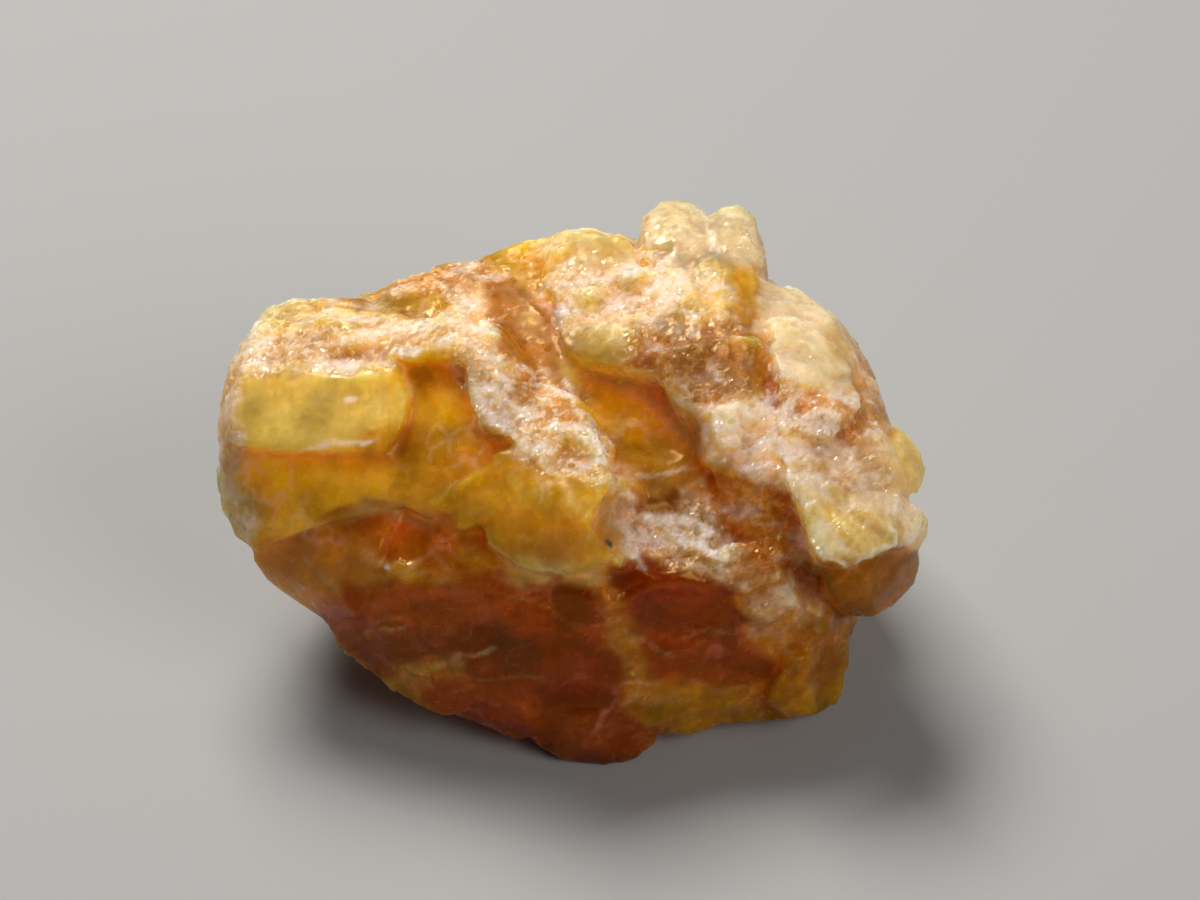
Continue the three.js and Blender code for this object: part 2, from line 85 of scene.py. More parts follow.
# The broad face, region by region: from (u, v), to (u, v), half width, colour, haze, sugar
regions = [
    # the head: a pale window in a frosted frame, and the amber face below it
    ((-14.8, 4.1), (-10.2, 4.1), 1.9, "lemon", 0.66, 0.02),
    ((-16.4, 7.0), (-9.6, 7.2), 1.1, "sand", 0.82, 0.5),
    ((-15.6, 8.9), (-10.5, 9.0), 0.8, "straw", 0.7, 0.5),
    ((-12.6, 9.8), (-11.0, 9.7), 0.4, "olive", 0.3, 0.2),
    ((-17.4, 1.6), (-17.1, 5.6), 0.5, "sand", 0.8, 0.4),
    ((-15.6, 0.9), (-10.4, 0.8), 1.2, "sunlit", 0.75, 0.03),
    # painted light: a paler amber up the shaded wall at the pale window's right
    ((-8.8, 5.6), (-9.0, 3.4), 0.3, "sunlit", 0.72, 0.06),
    ((-17.0, -0.8), (-16.4, -1.6), 0.8, "straw", 0.6, 0.35),
    ((-15.6, -1.6), (-13.4, -1.0), 0.7, "sunlit", 0.65, 0.1),
    ((-15.2, -3.6), (-12.6, -3.8), 1.3, "bronze", 0.6, 0.08),
    ((-11.2, -2.4), (-10.6, -4.2), 0.7, "bronze", 0.45, 0.12),
    # the middle: deep windows either side of the frosted ridge
    ((-7.4, 6.5), (-6.4, 3.8), 1.2, "amber", 0.58, 0.03),
    ((-9.4, 2.6), (-4.4, 1.8), 1.5, "honey", 0.48, 0.03),
    ((-8.6, 0.2), (-4.8, -0.4), 0.8, "honey", 0.5, 0.08),
    ((-5.4, -1.4), (-4.4, -2.8), 0.8, "honey", 0.4, 0.15),
    ((-9.2, -2.1), (-7.0, -2.6), 1.1, "ember", 0.36, 0.03),
    # painted light: a paler strip under the overhang, against the red inner glow and shade there
    ((-9.8, -1.1), (-7.0, -1.6), 0.35, "straw", 0.4, 0.05),
    ((-9.4, -3.8), (-6.6, -4.2), 0.35, "honey", 0.45, 0.25),
    ((-9.6, 7.9), (-5.2, 7.8), 1.0, "sand", 0.9, 0.6),
    ((-5.0, 7.0), (-3.8, 4.0), 0.9, "sand", 0.8, 0.6),
    ((-3.2, 3.2), (0.8, 1.6), 1.1, "sand", 0.85, 0.7),
    ((-1.8, 5.6), (0.0, 3.6), 0.8, "taupe", 0.7, 0.7),
    ((-3.0, 0.2), (1.0, -0.4), 1.0, "gold", 0.64, 0.15),
    ((-3.0, -2.2), (1.4, -2.6), 1.2, "honey", 0.64, 0.13),
    ((-2.4, -3.8), (1.2, -3.7), 0.4, "lemon", 0.6, 0.2),
    # painted light: a paler strip on the bulge that faces away from the key lamp, against its shade
    ((2.0, -0.4), (2.3, -2.6), 0.3, "straw", 0.8, 0.2),
    ((2.9, 0.4), (3.0, -3.0), 0.2, "cream", 0.85, 0.6),
    # the lower face, deep and dark
    ((-11.0, -5.8), (-4.0, -5.4), 1.0, "rust", 0.2, 0.08),
    ((-10.4, -7.9), (-4.4, -7.4), 1.0, "brown", 0.24, 0.18),
    ((-8.4, -9.3), (-6.0, -8.9), 0.4, "bronze", 0.48, 0.35),
    ((-3.6, -5.6), (0.8, -6.2), 1.2, "rust", 0.2, 0.1),
    ((-3.6, -8.4), (0.8, -9.2), 1.5, "deepRed", 0.18, 0.08),
    ((-6.4, -10.6), (-2.0, -11.6), 0.8, "rust", 0.25, 0.15),
    ((-1.0, -12.7), (2.8, -12.9), 1.0, "brown", 0.3, 0.15),
    ((1.6, -5.0), (3.2, -9.6), 0.25, "bronze", 0.38, 0.3),
    ((3.8, -4.9), (7.2, -6.2), 1.4, "deepRed", 0.12, 0.05),
    ((5.0, -8.2), (8.6, -8.6), 1.2, "rust", 0.24, 0.1),
    ((4.8, -10.8), (12.6, -10.6), 0.7, "bronze", 0.28, 0.15),
    ((8.8, -4.7), (10.2, -4.8), 0.35, "taupe", 0.7, 0.4),
    ((9.4, -5.6), (10.4, -7.4), 0.8, "bronze", 0.5, 0.3),
    ((11.4, -4.9), (12.0, -6.0), 0.5, "taupe", 0.6, 0.25),
    ((12.0, -8.4), (13.4, -6.8), 1.0, "olive", 0.25, 0.15),
    # the top: a channel between frosted shoulders, and the crown
    ((-9.4, 9.8), (-7.4, 9.6), 0.5, "gold", 0.35, 0.15),
    ((-9.4, 10.8), (-4.6, 11.2), 0.8, "taupe", 0.65, 0.5),
    ((-4.8, 9.6), (-4.4, 8.6), 0.5, "cream", 0.8, 0.6),
    ((-3.4, 11.8), (-2.0, 11.6), 0.8, "gold", 0.5, 0.2),
    ((-3.4, 9.8), (-1.4, 6.4), 1.0, "olive", 0.44, 0.05),
    ((-1.0, 12.6), (2.4, 12.6), 1.1, "straw", 0.75, 0.25),
    ((0.2, 10.2), (4.2, 10.4), 1.4, "cream", 0.85, 0.6),
    ((4.8, 13.3), (8.6, 13.1), 1.5, "milk", 0.64, 0.24),
    ((0.6, 7.8), (2.6, 7.4), 0.7, "straw", 0.6, 0.25),
    ((3.4, 7.2), (8.4, 7.4), 1.0, "taupe", 0.45, 0.5),
    ((4.4, 5.4), (8.0, 5.4), 0.7, "taupe", 0.65, 0.6),
    ((6.4, 9.4), (7.6, 11.2), 0.7, "straw", 0.7, 0.45),
    ((8.7, 10.9), (9.2, 9.4), 0.5, "gold", 0.55, 0.1),
    ((9.0, 8.4), (9.2, 6.0), 0.4, "honey", 0.4, 0.3),
    ((1.7, 4.8), (4.9, 2.5), 1.0, "amber", 0.52, 0.02),
    ((2.8, 2.1), (5.2, 1.6), 0.5, "bronze", 0.42, 0.03),
    # painted light: paler strokes up the amber window's hollow wall, against its shade and red inner glow
    ((0.4, 6.2), (4.8, 5.0), 0.7, "lemon", 0.55, 0.05),
    ((3.4, 5.1), (5.6, 3.0), 0.45, "straw", 0.7, 0.12),
    ((4.7, 5.2), (6.4, 2.8), 0.5, "sand", 0.88, 0.4),
    ((3.4, 0.4), (7.2, 0.8), 0.6, "bronze", 0.5, 0.05),
    ((3.2, -0.7), (5.0, -0.6), 0.3, "brown", 0.25, 0.12),
    # the right: frosted ground, white sparkle and the pale slab
    ((7.8, 3.6), (10.0, 2.0), 1.1, "shell", 0.95, 0.5),
    ((3.8, -1.8), (6.8, -2.2), 0.9, "sand", 0.76, 0.85),
    ((8.2, -0.2), (10.2, -2.6), 1.1, "bronze", 0.6, 0.45),
    ((8.8, -2.4), (9.8, -3.2), 0.4, "rust", 0.4, 0.35),
    ((4.4, -3.4), (8.6, -3.9), 0.4, "taupe", 0.6, 0.5),
    ((10.8, 9.4), (12.6, 6.2), 1.6, "milk", 0.78, 0.22),
    ((12.9, 7.6), (13.3, 7.0), 0.5, "gold", 0.4, 0.03),
    ((11.2, 4.4), (14.4, 3.8), 1.1, "taupe", 0.75, 0.6),
    ((12.4, 1.4), (15.2, 1.2), 1.1, "sand", 0.8, 0.38),
    ((12.8, -1.4), (15.2, -2.0), 1.2, "straw", 0.74, 0.3),
    ((15.4, 6.4), (16.4, 3.4), 0.8, "taupe", 0.7, 0.3),
    ((16.8, 2.6), (17.4, 0.8), 0.8, "straw", 0.8, 0.15),
    ((16.4, -0.8), (17.2, -2.2), 0.8, "cream", 0.9, 0.4),
    ((14.2, -4.8), (17.0, -4.2), 1.3, "olive", 0.2, 0.02),
]

# Fine lines and specks, and a few painted glints: a path across the face, half width, colour, strength and
# added haze
marks = [
    ([(-17.0, 2.4), (-15.6, 2.0), (-13.6, 2.1)], 0.10, "lemon", 0.6, 0.2),
    ([(-13.6, 2.1), (-12.0, 2.4), (-10.4, 2.3), (-9.6, 2.6)], 0.11, "white", 0.65, 0.3),
    ([(-16.6, 1.7), (-14.0, 1.7), (-10.6, 1.9)], 0.14, "bronze", 0.4, 0.0),
    ([(-8.3, 6.2), (-8.2, 4.6), (-9.0, 3.6), (-9.9, 3.2)], 0.12, "lemon", 0.6, 0.3),
    # painted glint: a white dash for the lamp's reflection on the pale window
    ([(-11.2, 4.5), (-10.7, 4.6)], 0.12, "white", 0.9, 0.5),
    ([(-10.0, 3.9), (-9.7, 4.0)], 0.08, "white", 0.4, 0.2),
    ([(-16.0, -2.9), (-13.4, -2.2), (-12.2, -1.3), (-10.2, -0.6), (-8.6, -0.8)], 0.14, "brown", 0.4, -0.1),
    ([(-9.7, -3.5), (-8.6, -3.8), (-7.4, -4.0)], 0.20, "straw", 0.3, 0.15),
    # painted glint: a small white dash on the lower face
    ([(-9.2, -3.7), (-9.0, -3.75)], 0.10, "white", 0.8, 0.4),
    ([(-5.4, 6.2), (-4.6, 4.6), (-3.6, 3.2), (-2.0, 2.0), (-0.4, 0.6)], 0.16, "white", 0.7, 0.3),
    ([(-4.0, -2.6), (-3.0, -3.8), (-1.0, -4.2), (1.2, -4.0), (2.6, -3.3)], 0.14, "lemon", 0.6, 0.3),
    ([(1.75, -2.5), (1.95, -2.6)], 0.16, "dark", 2.0, 0.4),
    ([(8.3, 4.2), (8.6, 3.2), (9.0, 2.0)], 0.10, "brown", 0.7, 0.0),
    ([(10.1, 4.4), (10.2, 3.2), (10.6, 2.0), (10.7, 1.0)], 0.11, "brown", 0.8, 0.0),
    ([(8.5, 11.4), (8.7, 9.0), (8.6, 6.6), (9.0, 5.0)], 0.11, "olive", 0.5, 0.0),
    ([(9.4, 10.4), (9.1, 8.2), (9.2, 6.4)], 0.10, "olive", 0.5, 0.0),
    ([(3.8, 12.0), (3.8, 13.0), (4.0, 14.0)], 0.12, "olive", 0.5, 0.0),
    ([(6.9, 14.2), (7.0, 13.2), (7.4, 12.2)], 0.12, "white", 0.6, 0.2),
    ([(4.2, 13.8), (4.9, 14.6), (6.2, 14.7), (6.9, 14.2)], 0.14, "white", 0.4, 0.2),
    ([(7.2, 14.0), (8.6, 14.3), (9.4, 13.6)], 0.14, "white", 0.4, 0.2),
    ([(-1.2, 13.0), (0.6, 13.7), (2.4, 13.2), (3.4, 12.9)], 0.12, "white", 0.6, 0.3),
    ([(10.6, 1.0), (11.1, -0.6), (11.6, -2.4), (12.6, -3.3), (14.0, -3.8)], 0.14, "white", 0.7, 0.4),
    ([(14.0, -3.8), (15.0, -3.0), (16.6, -2.6)], 0.12, "white", 0.6, 0.3),
    ([(15.8, -0.2), (15.8, -1.6), (16.2, -2.6)], 0.12, "white", 0.6, 0.3),
    ([(12.4, 2.2), (13.4, 0.8), (14.6, -0.2)], 0.09, "white", 0.4, 0.2),
    ([(12.0, 1.0), (13.0, -0.4), (14.2, -1.4)], 0.09, "white", 0.4, 0.2),
    ([(11.3, 3.2), (12.4, 1.9), (12.9, 0.5)], 0.14, "taupe", 0.6, -0.1),
    ([(13.2, 2.8), (14.0, 1.4), (14.9, 0.8)], 0.12, "taupe", 0.5, -0.1),
    ([(12.3, -0.2), (13.2, -1.6), (13.5, -2.6)], 0.12, "gold", 0.5, -0.1),
    ([(14.2, -0.6), (15.0, -1.6)], 0.10, "taupe", 0.4, 0.0),
    ([(14.0, 8.4), (14.6, 6.6), (15.6, 4.8), (16.2, 3.6)], 0.12, "white", 0.6, 0.3),
    ([(3.0, -0.2), (3.2, -1.6), (3.0, -3.0), (3.6, -3.9)], 0.12, "white", 0.6, 0.3),
    # painted sparkle: these white streaks are partly white frost and partly painted glints
    ([(3.6, -1.2), (5.2, -1.4), (6.8, -2.0)], 0.26, "white", 1.0, 0.6),
    ([(4.6, -2.2), (6.0, -2.6), (7.6, -3.2)], 0.20, "white", 0.9, 0.5),
    ([(5.4, -3.4), (6.6, -3.8), (7.6, -4.4)], 0.12, "white", 0.6, 0.3),
    ([(3.2, 0.9), (4.4, 0.7), (5.6, 1.0)], 0.10, "white", 0.5, 0.3),
    ([(-0.4, 5.4), (0.6, 3.6), (1.6, 2.2), (2.4, 1.2)], 0.12, "white", 0.5, 0.3),
    ([(-11.0, -7.5), (-9.6, -7.0), (-8.4, -6.9)], 0.08, "straw", 0.6, 0.2),
    ([(-10.4, -6.9), (-8.6, -6.3)], 0.07, "straw", 0.4, 0.15),
    ([(-5.8, -8.4), (-4.8, -8.3), (-3.8, -7.9)], 0.09, "cream", 0.7, 0.25),
    ([(-4.8, -9.6), (-2.6, -9.4), (-0.8, -9.6)], 0.07, "straw", 0.4, 0.15),
    ([(-6.4, -10.4), (-4.6, -9.9)], 0.07, "straw", 0.4, 0.15),
    ([(-8.6, -9.0), (-7.4, -9.2), (-6.2, -8.8)], 0.14, "straw", 0.5, 0.2),
    ([(-9.8, -8.6), (-8.8, -9.4), (-7.8, -9.8)], 0.08, "straw", 0.4, 0.15),
    ([(0.2, -6.8), (-1.4, -5.6), (-3.2, -5.2)], 0.07, "gold", 0.5, 0.15),
    ([(5.6, -7.4), (6.8, -6.9), (8.0, -7.2)], 0.08, "straw", 0.4, 0.15),
    ([(6.2, -9.6), (7.4, -10.2), (9.0, -10.0)], 0.08, "straw", 0.4, 0.15),
    ([(1.0, -4.6), (1.8, -6.4), (2.2, -8.0), (3.2, -9.4), (4.2, -10.8)], 0.14, "taupe", 0.45, 0.2),
    ([(2.6, -7.0), (4.2, -7.8), (5.0, -8.4)], 0.10, "cream", 0.4, 0.2),
    ([(-5.6, -5.4), (-2.8, -5.2), (0.4, -5.0)], 0.10, "dark", 0.3, 0.0),
    ([(9.8, -6.0), (10.4, -7.2), (11.2, -8.6)], 0.16, "cream", 0.3, 0.15),
    ([(12.2, -4.2), (12.6, -5.4), (12.4, -7.0)], 0.14, "cream", 0.5, 0.3),
    ([(-13.4, -3.2), (-11.2, -6.0)], 0.10, "straw", 0.4, 0.2),
    ([(-9.6, 10.2), (-8.8, 9.9)], 0.12, "white", 0.5, 0.3),
]

# Parallel fine lines in the face: from, to, half width, the way they run in degrees, strength
striations = [
    ((-16.5, 7.2), (-9.6, 7.4), 1.6, 4, 1.0),
    ((12.2, 2.0), (15.0, -1.8), 2.2, -38, 0.7),
    ((8.2, 11.0), (9.2, 5.0), 1.0, -84, 0.9),
    ((6.0, 13.0), (7.6, 11.4), 1.0, -80, 0.5),
    ((-6.4, 5.6), (-5.4, 2.0), 1.6, -58, 0.4),
    ((-9.0, 0.2), (-5.0, -1.0), 1.0, 20, 0.4),
    ((-9.0, -6.0), (-3.0, -8.6), 2.6, 16, 0.6),
    ((3.6, -5.4), (7.6, -7.0), 1.8, -28, 0.5),
]


def strokeDistance(face, start, end):
    run = np.subtract(end, start)
    along = np.clip((face[:, :2] - start) @ run / (run @ run), 0, 1)
    return np.linalg.norm(face[:, :2] - start - along[:, None] * run, axis=1)


def pathDistance(face, path):
    return np.min([strokeDistance(face, start, end) for start, end in zip(path, path[1:])], axis=0)


def fade(low, high, value):
    part = np.clip((value - low) / (high - low), 0, 1)
    return part * part * (3 - 2 * part)


def mixIn(base, other, share):
    return base + (other - base) * share


stone = {
    "gridSize": 0.2 * mm,      # of the even mesh that the detail is worked into
    "softening": (2, 0.5),     # passes and strength, to round off the grid's steps
    "seed": 5,
    "raggedness": 0.45,        # mm, how far the borders between the regions wander
    "borders": 3.8,            # how sharply one region takes over from the next
    "crispFrom": 0.3,          # sugar past which every little face is left flat
    "dentDepth": 0.08,         # mm
    "lineDepth": 0.03,         # mm
    "fineSize": 0.36,          # mm
    # size and depth of the flat facets, mm, on a clear face and on a sugary one
    "facets": [(2.4, 0.16, 0.26), (1.1, 0.05, 0.20), (0.6, 0.01, 0.10), (0.34, 0.0, 0.04)],
    "facetSpread": 7.31,       # keeps the leans of neighbouring facets apart
    "facetShift": (3.1, 5.7, 9.2),
    "noiseShift": (1, 1.7, 0.6),   # which way a noise's shift moves it
    "wispShape": (0.6, 1.3, 1),    # longer across the face than up it
    "lineStretch": (5, 0.5, 4),    # mm, along a line, across it and into the stone
    "markSway": 0.5,               # how far the marks wander, as a share of the borders' own
    "markBreaks": (0.4, 0.7),      # how strong a mark is at its gaps, and how much more between
}

# size in mm, octaves and shift of each noise
fields = {
    "swayAcross": (1.6, 3, 4),
    "swayUp": (1.6, 3, 11),
    "dents": (3, 2, 2),
    "cloud": (2.2, 6, 40),
    "vein": (1.3, 5, 7),
    "wisps": (1.3, 6, 52),
    "crackPatches": (3, 2, 90),
    "gaps": (0.9, 3, 33),
    "farPatches": (5, 4, 20),
    "farDepth": (7, 3, 30),
}

# where each thing comes in, from none of it to all of it
fades = {
    "hidden": (-1.0, -5.0),    # mm out of the broad face
    "facing": (0.05, 0.4),     # how far a point faces the same way as the broad face
    "cracks": (-0.1, 0.3),
    "hazy": (0.15, 0.5),
    "offVein": (0.0, 0.14),
    "wisps": (-0.12, 0.35),
    "sugary": (0.05, 0.6),
    "betweenGaps": (-0.3, 0.15),
    "offMark": (0.4, 1.7),     # in half widths
    "offLines": (0.5, 1.5),    # in half widths
    "relief": (0.06, 0.22),
    "farPatches": (-0.35, 0.45),
}

# inner panes: size and crack width in mm, and how far the cracks wander
panes = {
    "near": (2.6, 0.28),
    "far": (6, 0.4),
    "sway": 0.45,
    "shifts": (61, 72, 83),
    "heart": 0.3,              # share of a crack that is solid
    "shadeSpread": 9.7,        # keeps the shades of neighbouring panes apart
}

# how much each thing lightens, hazes, sugars and frosts the crystal
tints = {"cloud": 0.25, "pane": 0.2, "lines": 0.22}
hazes = {"cloud": 0.18, "crack": 0.12, "pane": 0.08, "vein": 0.25, "veinFrom": 0.3, "lines": 0.12}
sugars = {"cloud": 0.25}
frosts = {"haze": 0.5, "hazeFrom": 0.75, "crack": 0.25, "vein": 0.35, "lines": 0.5}

farSide = {
    "colours": ("straw", "gold", "honey", "bronze", "rust"),   # top to bottom
    "height": 20 * mm,         # that the whole run of colours would take
    "start": 0.5,              # how far down that run the foot is
    "paneDepth": 0.3,          # how far each pane and the noise move a place along it
    "noiseDepth": 0.5,
    "panePatches": 0.6,        # how much each pane's shade counts in the patches of frost
    # haze and sugar everywhere, in the patches and along the cracks
    "haze": (0.28, 0.42, 0.2),
    "sugar": (0.03, 0.45, 0.15),
}


def noiseAt(points, size, octaves, shift):
    offset = Vector([shift * part for part in stone["noiseShift"]])
    places = [Vector(point) / (size * mm) + offset for point in points]
    return np.array([noise.fractal(place, 1.0, 2.0, octaves) for place in places])


# Each cell is a little flat facet with a lean of its own
def grainTilt(points, size):
    heights = []
    for point in points:
        scaled = Vector(point) / (size * mm)
        middle = noise.voronoi(scaled)[1][0]
        lean = noise.noise_vector(middle * stone["facetSpread"] + Vector(stone["facetShift"]))
        heights.append(lean.normalized().dot(scaled - middle))
    return np.array(heights)


# Big uneven panes, as inner cleavage cracks part them: 1 along the cracks, and a shade for each pane
def innerPanes(points, size, width):
    sways = [noiseAt(points, size, 3, shift) for shift in panes["shifts"]]
    gaps = []
    shades = []
    for point in points + np.stack(sways, axis=1) * panes["sway"] * size * mm:
        reach, middles = noise.voronoi(Vector(point) / (size * mm))
        gaps.append((reach[1] - reach[0]) * size)
        shades.append(noise.cell(middles[0] * panes["shadeSpread"]))
    return 1 - fade(panes["heart"] * width, width, np.array(gaps)), np.array(shades)


def evenCopy(node):
    shape = bmesh.new()
    shape.from_mesh(node.data)
    bmesh.ops.remove_doubles(shape, verts=shape.verts, dist=0.001 * mm)
    merged = bpy.data.meshes.new("stone")
    shape.to_mesh(merged)
    shape.free()
    piece = bpy.data.objects.new("stone", merged)
    bpy.context.scene.collection.objects.link(piece)
    grid = piece.modifiers.new("evenGrid", "REMESH")
    grid.mode = "VOXEL"
    grid.voxel_size = stone["gridSize"]
    soften = piece.modifiers.new("soften", "SMOOTH")
    soften.iterations, soften.factor = stone["softening"]
    graph = bpy.context.evaluated_depsgraph_get()
    piece.data = bpy.data.meshes.new_from_object(piece.evaluated_get(graph))
    piece.modifiers.clear()
    return piece


# Each stroke pulls at the face around it, and the nearest pulls hardest
def paintRegions(face):
    total = np.full(len(face), 1e-12)   # never quite nothing, far from every stroke
    colour = np.zeros((len(face), 3))
    haze = np.zeros(len(face))
    sugar = np.zeros(len(face))
    for start, end, width, name, milk, rough in regions:
        pull = np.exp(stone["borders"] * (width - strokeDistance(face, start, end)))
        total += pull
        colour += pull[:, None] * np.array(palette[name])
        haze += pull * milk
        sugar += pull * rough
    return colour / total[:, None], haze / total, sugar / total


def layered(shares, patches, cracks):
    everywhere, inPatches, inCracks = shares
    return everywhere + inPatches * patches + inCracks * cracks


# The hidden side is in patches of frost and glass, paler at the top and rustier at the foot
def paintFarSide(points):
    cracks, shade = innerPanes(points, *panes["far"])
    patches = farSide["panePatches"] * shade + noiseAt(points, *fields["farPatches"])
    patches = fade(*fades["farPatches"], patches)
    depth = farSide["start"] - points[:, 2] / farSide["height"] + farSide["paneDepth"] * shade
    depth += farSide["noiseDepth"] * noiseAt(points, *fields["farDepth"])
    shades = np.array([palette[name] for name in farSide["colours"]])
    stops = np.linspace(0, 1, len(shades))
    colour = np.stack([np.interp(depth, stops, channel) for channel in shades.T], axis=1)
    haze = layered(farSide["haze"], patches, cracks)
    return colour, haze, layered(farSide["sugar"], patches, cracks)


def lineField(face, ragged):
    longWay, crossWay, inward = stone["lineStretch"]
    lines = np.zeros(len(face))
    for start, end, width, angle, strength in striations:
        run = math.radians(angle)
        along = (face[:, 0] * math.cos(run) + face[:, 1] * math.sin(run)) / longWay
        across = (face[:, 1] * math.cos(run) - face[:, 0] * math.sin(run)) / crossWay
        stretched = np.stack([along, across, face[:, 2] / inward], axis=1) * mm
        near = 1 - fade(*fades["offLines"], strokeDistance(ragged, start, end) / width)
        lines += strength * near * noiseAt(stretched, 1, 2, angle)   # shifted by its angle
    return lines


def store(mesh, name, kind, field, values):
    mesh.attributes.new(name, kind, "POINT").data.foreach_set(field, values.ravel())


def workSurface(mesh):
    count = len(mesh.vertices)
    points = np.empty(count * 3)
    normals = np.empty(count * 3)
    mesh.vertices.foreach_get("co", points)
    mesh.vertices.foreach_get("normal", normals)
    points = points.reshape(-1, 3)
    normals = normals.reshape(-1, 3)
    face = toFace(points)
    noise.seed_set(stone["seed"])   # the vector noise is otherwise new each run
    ragged = face.copy()
    ragged[:, 0] += stone["raggedness"] * noiseAt(points, *fields["swayAcross"])
    ragged[:, 1] += stone["raggedness"] * noiseAt(points, *fields["swayUp"])
    hidden = fade(*fades["hidden"], face[:, 2])   # 1 on the far side
    facing = fade(*fades["facing"], (normals @ np.array(faceAxes).T)[:, 2])

    colour, haze, sugar = paintRegions(ragged)
    farColour, farHaze, farSugar = paintFarSide(points)
    colour = mixIn(colour, farColour, hidden[:, None])
    haze = mixIn(haze, farHaze, hidden)
    sugar = mixIn(sugar, farSugar, hidden)

    # clouds, veins, and inner cracks and panes
    cloud = noiseAt(points, *fields["cloud"])
    crack, pane = innerPanes(points, *panes["near"])
    crack *= fade(*fades["cracks"], noiseAt(points, *fields["crackPatches"]))
    pane *= 1 - fade(*fades["hazy"], haze)
    vein = 1 - fade(*fades["offVein"], np.abs(noiseAt(points, *fields["vein"])))
    colour *= (1 + tints["cloud"] * cloud + tints["pane"] * pane)[:, None]
    haze = haze + hazes["cloud"] * cloud + hazes["crack"] * crack + hazes["pane"] * pane
    haze += hazes["vein"] * sugar * (vein - hazes["veinFrom"])

    # the frost lies over the sugary faces in wisps
    wisps = noiseAt(face * stone["wispShape"] * mm, *fields["wisps"])
    frost = fade(*fades["wisps"], wisps + frosts["haze"] * (haze - frosts["hazeFrom"]))
    frost = frost * fade(*fades["sugary"], sugar)
    frost = np.clip(frost + frosts["crack"] * crack + frosts["vein"] * sugar * vein, 0, 1)

    # the marks are broken up, as cracks are where they come and go
    least, more = stone["markBreaks"]
    broken = least + more * fade(*fades["betweenGaps"], noiseAt(points, *fields["gaps"]))
    swayed = mixIn(face, ragged, stone["markSway"])
    for path, width, name, strength, milk in marks:
        off = fade(*fades["offMark"], pathDistance(swayed, path) / width)
        near = np.clip(strength * broken * (1 - off) * facing, 0, 1)
        colour = mixIn(colour, np.array(palette[name]), near[:, None])
        haze += milk * near

    lines = lineField(face, ragged) * (1 - hidden)
    colour *= (1 + tints["lines"] * lines)[:, None]
    haze = np.clip(haze + hazes["lines"] * lines, 0, 1)
    frost = np.clip(frost + frosts["lines"] * lines * sugar, 0, 1)

    push = stone["dentDepth"] * noiseAt(points, *fields["dents"]) + stone["lineDepth"] * lines
    relief = fade(*fades["relief"], sugar)
    for size, clearDepth, sugarDepth in stone["facets"]:
        push += relief * mixIn(clearDepth, sugarDepth, sugar) * grainTilt(points, size)
    sugar = np.clip(sugar + sugars["cloud"] * cloud, 0, 1)
    fine = np.array([noise.noise_vector(Vector(point) / (stone["fineSize"] * mm)) for point in points])

    points = points + normals * (push * mm)[:, None]
    points[:, 2] = np.maximum(points[:, 2], 0)
    mesh.vertices.foreach_set("co", points.ravel())
    store(mesh, "sugar", "FLOAT", "value", sugar)
    store(mesh, "haze", "FLOAT", "value", haze)
    store(mesh, "frost", "FLOAT", "value", frost)
    store(mesh, "fine", "FLOAT_VECTOR", "vector", fine)
    store(mesh, "honey", "FLOAT_COLOR", "color", np.insert(np.clip(colour, 0, 1), 3, 1, axis=1))
    corners = np.empty(len(mesh.loops), int)
    mesh.loops.foreach_get("vertex_index", corners)
    mesh.polygons.foreach_set("use_smooth", sugar[corners[::4]] < stone["crispFrom"])
    mesh.update()


stonePiece = evenCopy(frame["nodes"]["danburite"])
print("stone: even mesh of", len(stonePiece.data.vertices), "points")
workSurface(stonePiece.data)
print("stone: colours, sugar and facets worked in")
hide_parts("danburite")
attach(stonePiece, "root")


class Wire:
    def __init__(self, shader, socket):
        self.shader = shader
        self.socket = socket

    def __add__(self, other):
        return self.shader.maths("ADD", self, other)

    def __radd__(self, other):
        return self.shader.maths("ADD", other, self)

    def __sub__(self, other):
        return self.shader.maths("SUBTRACT", self, other)

    def __rsub__(self, other):
        return self.shader.maths("SUBTRACT", other, self)

    def __mul__(self, other):
        return self.shader.maths("MULTIPLY", self, other)

    def __rmul__(self, other):
        return self.shader.maths("MULTIPLY", other, self)


class Shader:
    def __init__(self, name):
        self.material = bpy.data.materials.new(name)
        self.material.use_nodes = True
        self.tree = self.material.node_tree
        self.tree.nodes.clear()

    def node(self, kind, settings=None, inputs=None, output=0):
        made = self.tree.nodes.new(kind)
        for name, value in (settings or {}).items():
            setattr(made, name, value)
        for name, value in (inputs or {}).items():
            if isinstance(value, Wire):
                self.tree.links.new(value.socket, made.inputs[name])
            else:
                made.inputs[name].default_value = value
        return Wire(self, made.outputs[output]) if made.outputs else None

    def attribute(self, name, output):
        return self.node("ShaderNodeAttribute", {"attribute_name": name}, {}, output)

    def smooth(self, value, low, high):
        return self.node("ShaderNodeMapRange", {"interpolation_type": "SMOOTHSTEP"},
                         {"Value": value, "From Min": low, "From Max": high}, "Result")

    def blend(self, factor, first, second, mode="MIX"):
        return self.node("ShaderNodeMix", {"data_type": "RGBA", "blend_type": mode},
                         {0: factor, 6: first, 7: second}, 2)

    def cells(self, place, size):
        return self.node("ShaderNodeTexVoronoi", {}, {"Vector": place, "Scale": 1 / (size * mm)}, "Color")

    def channel(self, colour, index):
        return self.node("ShaderNodeSeparateColor", {}, {0: colour}, index)

    def maths(self, operation, *inputs):
        return self.node("ShaderNodeMath", {"operation": operation}, dict(enumerate(inputs)))

    def vector(self, operation, *inputs):
        return self.node("ShaderNodeVectorMath", {"operation": operation}, dict(enumerate(inputs)))

    def scaled(self, vector, amount):
        return self.node("ShaderNodeVectorMath", {"operation": "SCALE"}, {0: vector, "Scale": amount})


